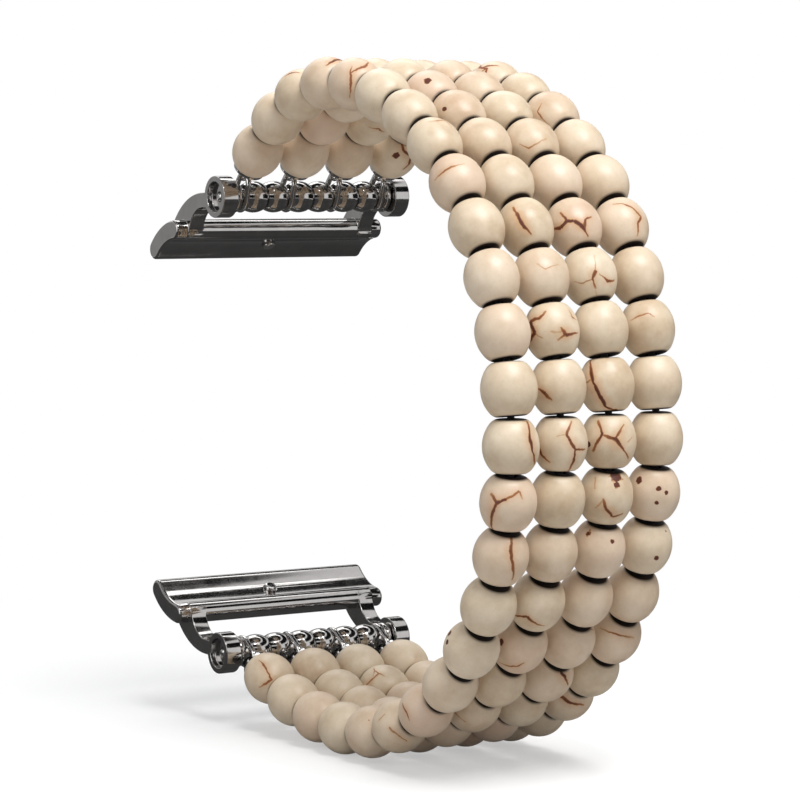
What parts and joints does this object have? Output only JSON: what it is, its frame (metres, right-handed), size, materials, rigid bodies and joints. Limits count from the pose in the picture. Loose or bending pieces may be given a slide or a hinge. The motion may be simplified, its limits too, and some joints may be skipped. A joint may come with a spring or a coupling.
{
  "type": "bead watch band",
  "caption": "Elastic watch band: rows of bored stone beads on cords, ringed at each end to a spring bar in an adapter with a tongue that slides into the watch case.",
  "frame": {"origin": "middle of the upper adapter's tongue, half way along it and half way through it", "axes": "+X runs across the rows along the tongue, +Y from the far side of the wrist towards the watch, +Z from six o'clock towards twelve o'clock"},
  "size_m": [0.0292, 0.0746, 0.0797],
  "materials": {
    "stone": "opaque polished stone, cream with brown veins",
    "cord": "dark elastic cord",
    "dark_steel": "polished dark plated steel",
    "bright_steel": "polished steel",
    "spring_steel": "drawn spring wire"
  },
  "bodies": {
    "upper_adapter": {"upper_adapter": "dark_steel", "upper_spring_bar_tube": "bright_steel", "upper_spring_bar_spring": "spring_steel", "upper_lock_spring": "spring_steel"},
    "upper_spring_bar_tip_left": {"upper_spring_bar_tip_left": "bright_steel"},
    "upper_spring_bar_tip_right": {"upper_spring_bar_tip_right": "bright_steel"},
    "upper_bar_spacers": {"upper_bar_spacers": "bright_steel"},
    "upper_lock_button": {"upper_lock_button": "bright_steel"},
    "upper_cord_rings": {"upper_cord_rings": "bright_steel"},
    "lower_adapter": {"lower_adapter": "dark_steel", "lower_spring_bar_tube": "bright_steel", "lower_spring_bar_spring": "spring_steel", "lower_lock_spring": "spring_steel"},
    "lower_spring_bar_tip_left": {"lower_spring_bar_tip_left": "bright_steel"},
    "lower_spring_bar_tip_right": {"lower_spring_bar_tip_right": "bright_steel"},
    "lower_bar_spacers": {"lower_bar_spacers": "bright_steel"},
    "lower_lock_button": {"lower_lock_button": "bright_steel"},
    "lower_cord_rings": {"lower_cord_rings": "bright_steel"},
    "bead_column_01": {"bead_column_01": "stone", "upper_end_caps": "bright_steel", "elastic_cord_1": "cord", "elastic_cord_2": "cord", "elastic_cord_3": "cord", "elastic_cord_4": "cord"},
    "bead_column_02": {"bead_column_02": "stone"},
    "bead_column_03": {"bead_column_03": "stone"},
    "bead_column_04": {"bead_column_04": "stone"},
    "bead_column_05": {"bead_column_05": "stone"},
    "bead_column_06": {"bead_column_06": "stone"},
    "bead_column_07": {"bead_column_07": "stone"},
    "bead_column_08": {"bead_column_08": "stone"},
    "bead_column_09": {"bead_column_09": "stone"},
    "bead_column_10": {"bead_column_10": "stone"},
    "bead_column_11": {"bead_column_11": "stone"},
    "bead_column_12": {"bead_column_12": "stone"},
    "bead_column_13": {"bead_column_13": "stone"},
    "bead_column_14": {"bead_column_14": "stone"},
    "bead_column_15": {"bead_column_15": "stone"},
    "bead_column_16": {"bead_column_16": "stone"},
    "bead_column_17": {"bead_column_17": "stone"},
    "bead_column_18": {"bead_column_18": "stone"},
    "bead_column_19": {"bead_column_19": "stone"},
    "bead_column_20": {"bead_column_20": "stone"},
    "bead_column_21": {"bead_column_21": "stone"},
    "bead_column_22": {"bead_column_22": "stone"},
    "bead_column_23": {"bead_column_23": "stone"},
    "bead_column_24": {"bead_column_24": "stone"},
    "bead_column_25": {"bead_column_25": "stone"},
    "bead_column_26": {"bead_column_26": "stone", "lower_end_caps": "bright_steel"}
  },
  "joints": [
    {"name": "upper_ring_swing", "type": "hinge", "parent": "upper_adapter", "child": "upper_cord_rings", "pos_m": [0, -0.0104, 0.0048], "axis": [1, 0, 0], "range_deg": [-75, 110]},
    {"name": "upper_link_bend", "type": "hinge", "parent": "upper_cord_rings", "child": "bead_column_01", "pos_m": [0, -0.0119, 0.0074], "axis": [1, 0, 0], "range_deg": [-37, 7]},
    {"name": "gap_01_bend", "type": "hinge", "parent": "bead_column_01", "child": "bead_column_02", "pos_m": [0, -0.01692, 0.01242], "axis": [1, 0, 0], "range_deg": [-13.6, 0.68], "deforming": ["elastic_cord_1", "elastic_cord_2", "elastic_cord_3", "elastic_cord_4"]},
    {"name": "gap_02_bend", "type": "hinge", "parent": "bead_column_02", "child": "bead_column_03", "pos_m": [0, -0.02215, 0.01561], "axis": [1, 0, 0], "range_deg": [-13.6, 0.68], "deforming": ["elastic_cord_1", "elastic_cord_2", "elastic_cord_3", "elastic_cord_4"]},
    {"name": "gap_03_bend", "type": "hinge", "parent": "bead_column_03", "child": "bead_column_04", "pos_m": [0, -0.02799, 0.01749], "axis": [1, 0, 0], "range_deg": [-13.6, 0.68], "deforming": ["elastic_cord_1", "elastic_cord_2", "elastic_cord_3", "elastic_cord_4"]},
    {"name": "gap_04_bend", "type": "hinge", "parent": "bead_column_04", "child": "bead_column_05", "pos_m": [0, -0.0341, 0.01794], "axis": [1, 0, 0], "range_deg": [-13.6, 0.68], "deforming": ["elastic_cord_1", "elastic_cord_2", "elastic_cord_3", "elastic_cord_4"]},
    {"name": "gap_05_bend", "type": "hinge", "parent": "bead_column_05", "child": "bead_column_06", "pos_m": [0, -0.04009, 0.01694], "axis": [1, 0, 0], "range_deg": [-9.4, 0.47], "deforming": ["elastic_cord_1", "elastic_cord_2", "elastic_cord_3", "elastic_cord_4"]},
    {"name": "gap_06_bend", "type": "hinge", "parent": "bead_column_06", "child": "bead_column_07", "pos_m": [0, -0.04579, 0.015], "axis": [1, 0, 0], "range_deg": [-9.4, 0.47], "deforming": ["elastic_cord_1", "elastic_cord_2", "elastic_cord_3", "elastic_cord_4"]},
    {"name": "gap_07_bend", "type": "hinge", "parent": "bead_column_07", "child": "bead_column_08", "pos_m": [0, -0.0511, 0.01216], "axis": [1, 0, 0], "range_deg": [-9.4, 0.47], "deforming": ["elastic_cord_1", "elastic_cord_2", "elastic_cord_3", "elastic_cord_4"]},
    {"name": "gap_08_bend", "type": "hinge", "parent": "bead_column_08", "child": "bead_column_09", "pos_m": [0, -0.05587, 0.00848], "axis": [1, 0, 0], "range_deg": [-9.4, 0.47], "deforming": ["elastic_cord_1", "elastic_cord_2", "elastic_cord_3", "elastic_cord_4"]},
    {"name": "gap_09_bend", "type": "hinge", "parent": "bead_column_09", "child": "bead_column_10", "pos_m": [0, -0.05998, 0.00408], "axis": [1, 0, 0], "range_deg": [-9.4, 0.47], "deforming": ["elastic_cord_1", "elastic_cord_2", "elastic_cord_3", "elastic_cord_4"]},
    {"name": "gap_10_bend", "type": "hinge", "parent": "bead_column_10", "child": "bead_column_11", "pos_m": [0, -0.06331, -0.00093], "axis": [1, 0, 0], "range_deg": [-9.4, 0.47], "deforming": ["elastic_cord_1", "elastic_cord_2", "elastic_cord_3", "elastic_cord_4"]},
    {"name": "gap_11_bend", "type": "hinge", "parent": "bead_column_11", "child": "bead_column_12", "pos_m": [0, -0.06577, -0.00641], "axis": [1, 0, 0], "range_deg": [-8.3, 0.42], "deforming": ["elastic_cord_1", "elastic_cord_2", "elastic_cord_3", "elastic_cord_4"]},
    {"name": "gap_12_bend", "type": "hinge", "parent": "bead_column_12", "child": "bead_column_13", "pos_m": [0, -0.06741, -0.01218], "axis": [1, 0, 0], "range_deg": [-8.3, 0.42], "deforming": ["elastic_cord_1", "elastic_cord_2", "elastic_cord_3", "elastic_cord_4"]},
    {"name": "gap_13_bend", "type": "hinge", "parent": "bead_column_13", "child": "bead_column_14", "pos_m": [0, -0.0682, -0.01812], "axis": [1, 0, 0], "range_deg": [-8.3, 0.42], "deforming": ["elastic_cord_1", "elastic_cord_2", "elastic_cord_3", "elastic_cord_4"]},
    {"name": "gap_14_bend", "type": "hinge", "parent": "bead_column_14", "child": "bead_column_15", "pos_m": [0, -0.06813, -0.02411], "axis": [1, 0, 0], "range_deg": [-8.3, 0.42], "deforming": ["elastic_cord_1", "elastic_cord_2", "elastic_cord_3", "elastic_cord_4"]},
    {"name": "gap_15_bend", "type": "hinge", "parent": "bead_column_15", "child": "bead_column_16", "pos_m": [0, -0.06719, -0.03003], "axis": [1, 0, 0], "range_deg": [-8.3, 0.42], "deforming": ["elastic_cord_1", "elastic_cord_2", "elastic_cord_3", "elastic_cord_4"]},
    {"name": "gap_16_bend", "type": "hinge", "parent": "bead_column_16", "child": "bead_column_17", "pos_m": [0, -0.0654, -0.03578], "axis": [1, 0, 0], "range_deg": [-10.5, 0.53], "deforming": ["elastic_cord_1", "elastic_cord_2", "elastic_cord_3", "elastic_cord_4"]},
    {"name": "gap_17_bend", "type": "hinge", "parent": "bead_column_17", "child": "bead_column_18", "pos_m": [0, -0.06258, -0.04113], "axis": [1, 0, 0], "range_deg": [-10.5, 0.53], "deforming": ["elastic_cord_1", "elastic_cord_2", "elastic_cord_3", "elastic_cord_4"]},
    {"name": "gap_18_bend", "type": "hinge", "parent": "bead_column_18", "child": "bead_column_19", "pos_m": [0, -0.05883, -0.04587], "axis": [1, 0, 0], "range_deg": [-10.5, 0.53], "deforming": ["elastic_cord_1", "elastic_cord_2", "elastic_cord_3", "elastic_cord_4"]},
    {"name": "gap_19_bend", "type": "hinge", "parent": "bead_column_19", "child": "bead_column_20", "pos_m": [0, -0.05428, -0.04986], "axis": [1, 0, 0], "range_deg": [-10.5, 0.53], "deforming": ["elastic_cord_1", "elastic_cord_2", "elastic_cord_3", "elastic_cord_4"]},
    {"name": "gap_20_bend", "type": "hinge", "parent": "bead_column_20", "child": "bead_column_21", "pos_m": [0, -0.04908, -0.05295], "axis": [1, 0, 0], "range_deg": [-10.5, 0.53], "deforming": ["elastic_cord_1", "elastic_cord_2", "elastic_cord_3", "elastic_cord_4"]},
    {"name": "gap_21_bend", "type": "hinge", "parent": "bead_column_21", "child": "bead_column_22", "pos_m": [0, -0.0434, -0.05504], "axis": [1, 0, 0], "range_deg": [-10.5, 0.53], "deforming": ["elastic_cord_1", "elastic_cord_2", "elastic_cord_3", "elastic_cord_4"]},
    {"name": "gap_22_bend", "type": "hinge", "parent": "bead_column_22", "child": "bead_column_23", "pos_m": [0, -0.03744, -0.05606], "axis": [1, 0, 0], "range_deg": [-10.5, 0.53], "deforming": ["elastic_cord_1", "elastic_cord_2", "elastic_cord_3", "elastic_cord_4"]},
    {"name": "gap_23_bend", "type": "hinge", "parent": "bead_column_23", "child": "bead_column_24", "pos_m": [0, -0.03144, -0.05597], "axis": [1, 0, 0], "range_deg": [-6.8, 0.34], "deforming": ["elastic_cord_1", "elastic_cord_2", "elastic_cord_3", "elastic_cord_4"]},
    {"name": "gap_24_bend", "type": "hinge", "parent": "bead_column_24", "child": "bead_column_25", "pos_m": [0, -0.02554, -0.05518], "axis": [1, 0, 0], "range_deg": [-6.8, 0.34], "deforming": ["elastic_cord_1", "elastic_cord_2", "elastic_cord_3", "elastic_cord_4"]},
    {"name": "gap_25_bend", "type": "hinge", "parent": "bead_column_25", "child": "bead_column_26", "pos_m": [0, -0.01977, -0.0537], "axis": [1, 0, 0], "range_deg": [-6.8, 0.34], "deforming": ["elastic_cord_1", "elastic_cord_2", "elastic_cord_3", "elastic_cord_4"]},
    {"name": "lower_link_bend", "type": "hinge", "parent": "bead_column_26", "child": "lower_cord_rings", "pos_m": [0, -0.01323, -0.05117], "axis": [1, 0, 0], "range_deg": [-20.8, 23.2]},
    {"name": "lower_adapter_tilt", "type": "hinge", "parent": "lower_cord_rings", "child": "lower_adapter", "pos_m": [0, -0.01041, -0.05014], "axis": [1, 0, 0], "range_deg": [-110, 70]},
    {"name": "upper_tip_left_slide", "type": "slide", "parent": "upper_adapter", "child": "upper_spring_bar_tip_left", "axis": [1, 0, 0], "range_m": [0, 0.0016], "stiffness_N_per_m": 400, "springref_m": -0.001, "deforming": ["upper_spring_bar_spring"]},
    {"name": "upper_tip_right_slide", "type": "slide", "parent": "upper_adapter", "child": "upper_spring_bar_tip_right", "axis": [-1, 0, 0], "range_m": [0, 0.0016], "stiffness_N_per_m": 400, "springref_m": -0.001, "deforming": ["upper_spring_bar_spring"]},
    {"name": "upper_spacer_spin", "type": "hinge", "parent": "upper_adapter", "child": "upper_bar_spacers", "pos_m": [0, -0.0104, 0.0048], "axis": [1, 0, 0], "continuous": true},
    {"name": "upper_lock_button_press", "type": "slide", "parent": "upper_adapter", "child": "upper_lock_button", "axis": [0, 0.4462, 0.8949], "range_m": [0, 0.0005], "stiffness_N_per_m": 300, "springref_m": -0.0003, "deforming": ["upper_lock_spring"]},
    {"name": "lower_tip_left_slide", "type": "slide", "parent": "lower_adapter", "child": "lower_spring_bar_tip_left", "axis": [1, 0, 0], "range_m": [0, 0.0016], "stiffness_N_per_m": 400, "springref_m": -0.001, "deforming": ["lower_spring_bar_spring"]},
    {"name": "lower_tip_right_slide", "type": "slide", "parent": "lower_adapter", "child": "lower_spring_bar_tip_right", "axis": [-1, 0, 0], "range_m": [0, 0.0016], "stiffness_N_per_m": 400, "springref_m": -0.001, "deforming": ["lower_spring_bar_spring"]},
    {"name": "lower_spacer_spin", "type": "hinge", "parent": "lower_adapter", "child": "lower_bar_spacers", "pos_m": [0, -0.01041, -0.05014], "axis": [1, 0, 0], "continuous": true},
    {"name": "lower_lock_button_press", "type": "slide", "parent": "lower_adapter", "child": "lower_lock_button", "axis": [0, 0.4462, -0.8949], "range_m": [0, 0.0005], "stiffness_N_per_m": 300, "springref_m": -0.0003, "deforming": ["lower_lock_spring"]}
  ]
}
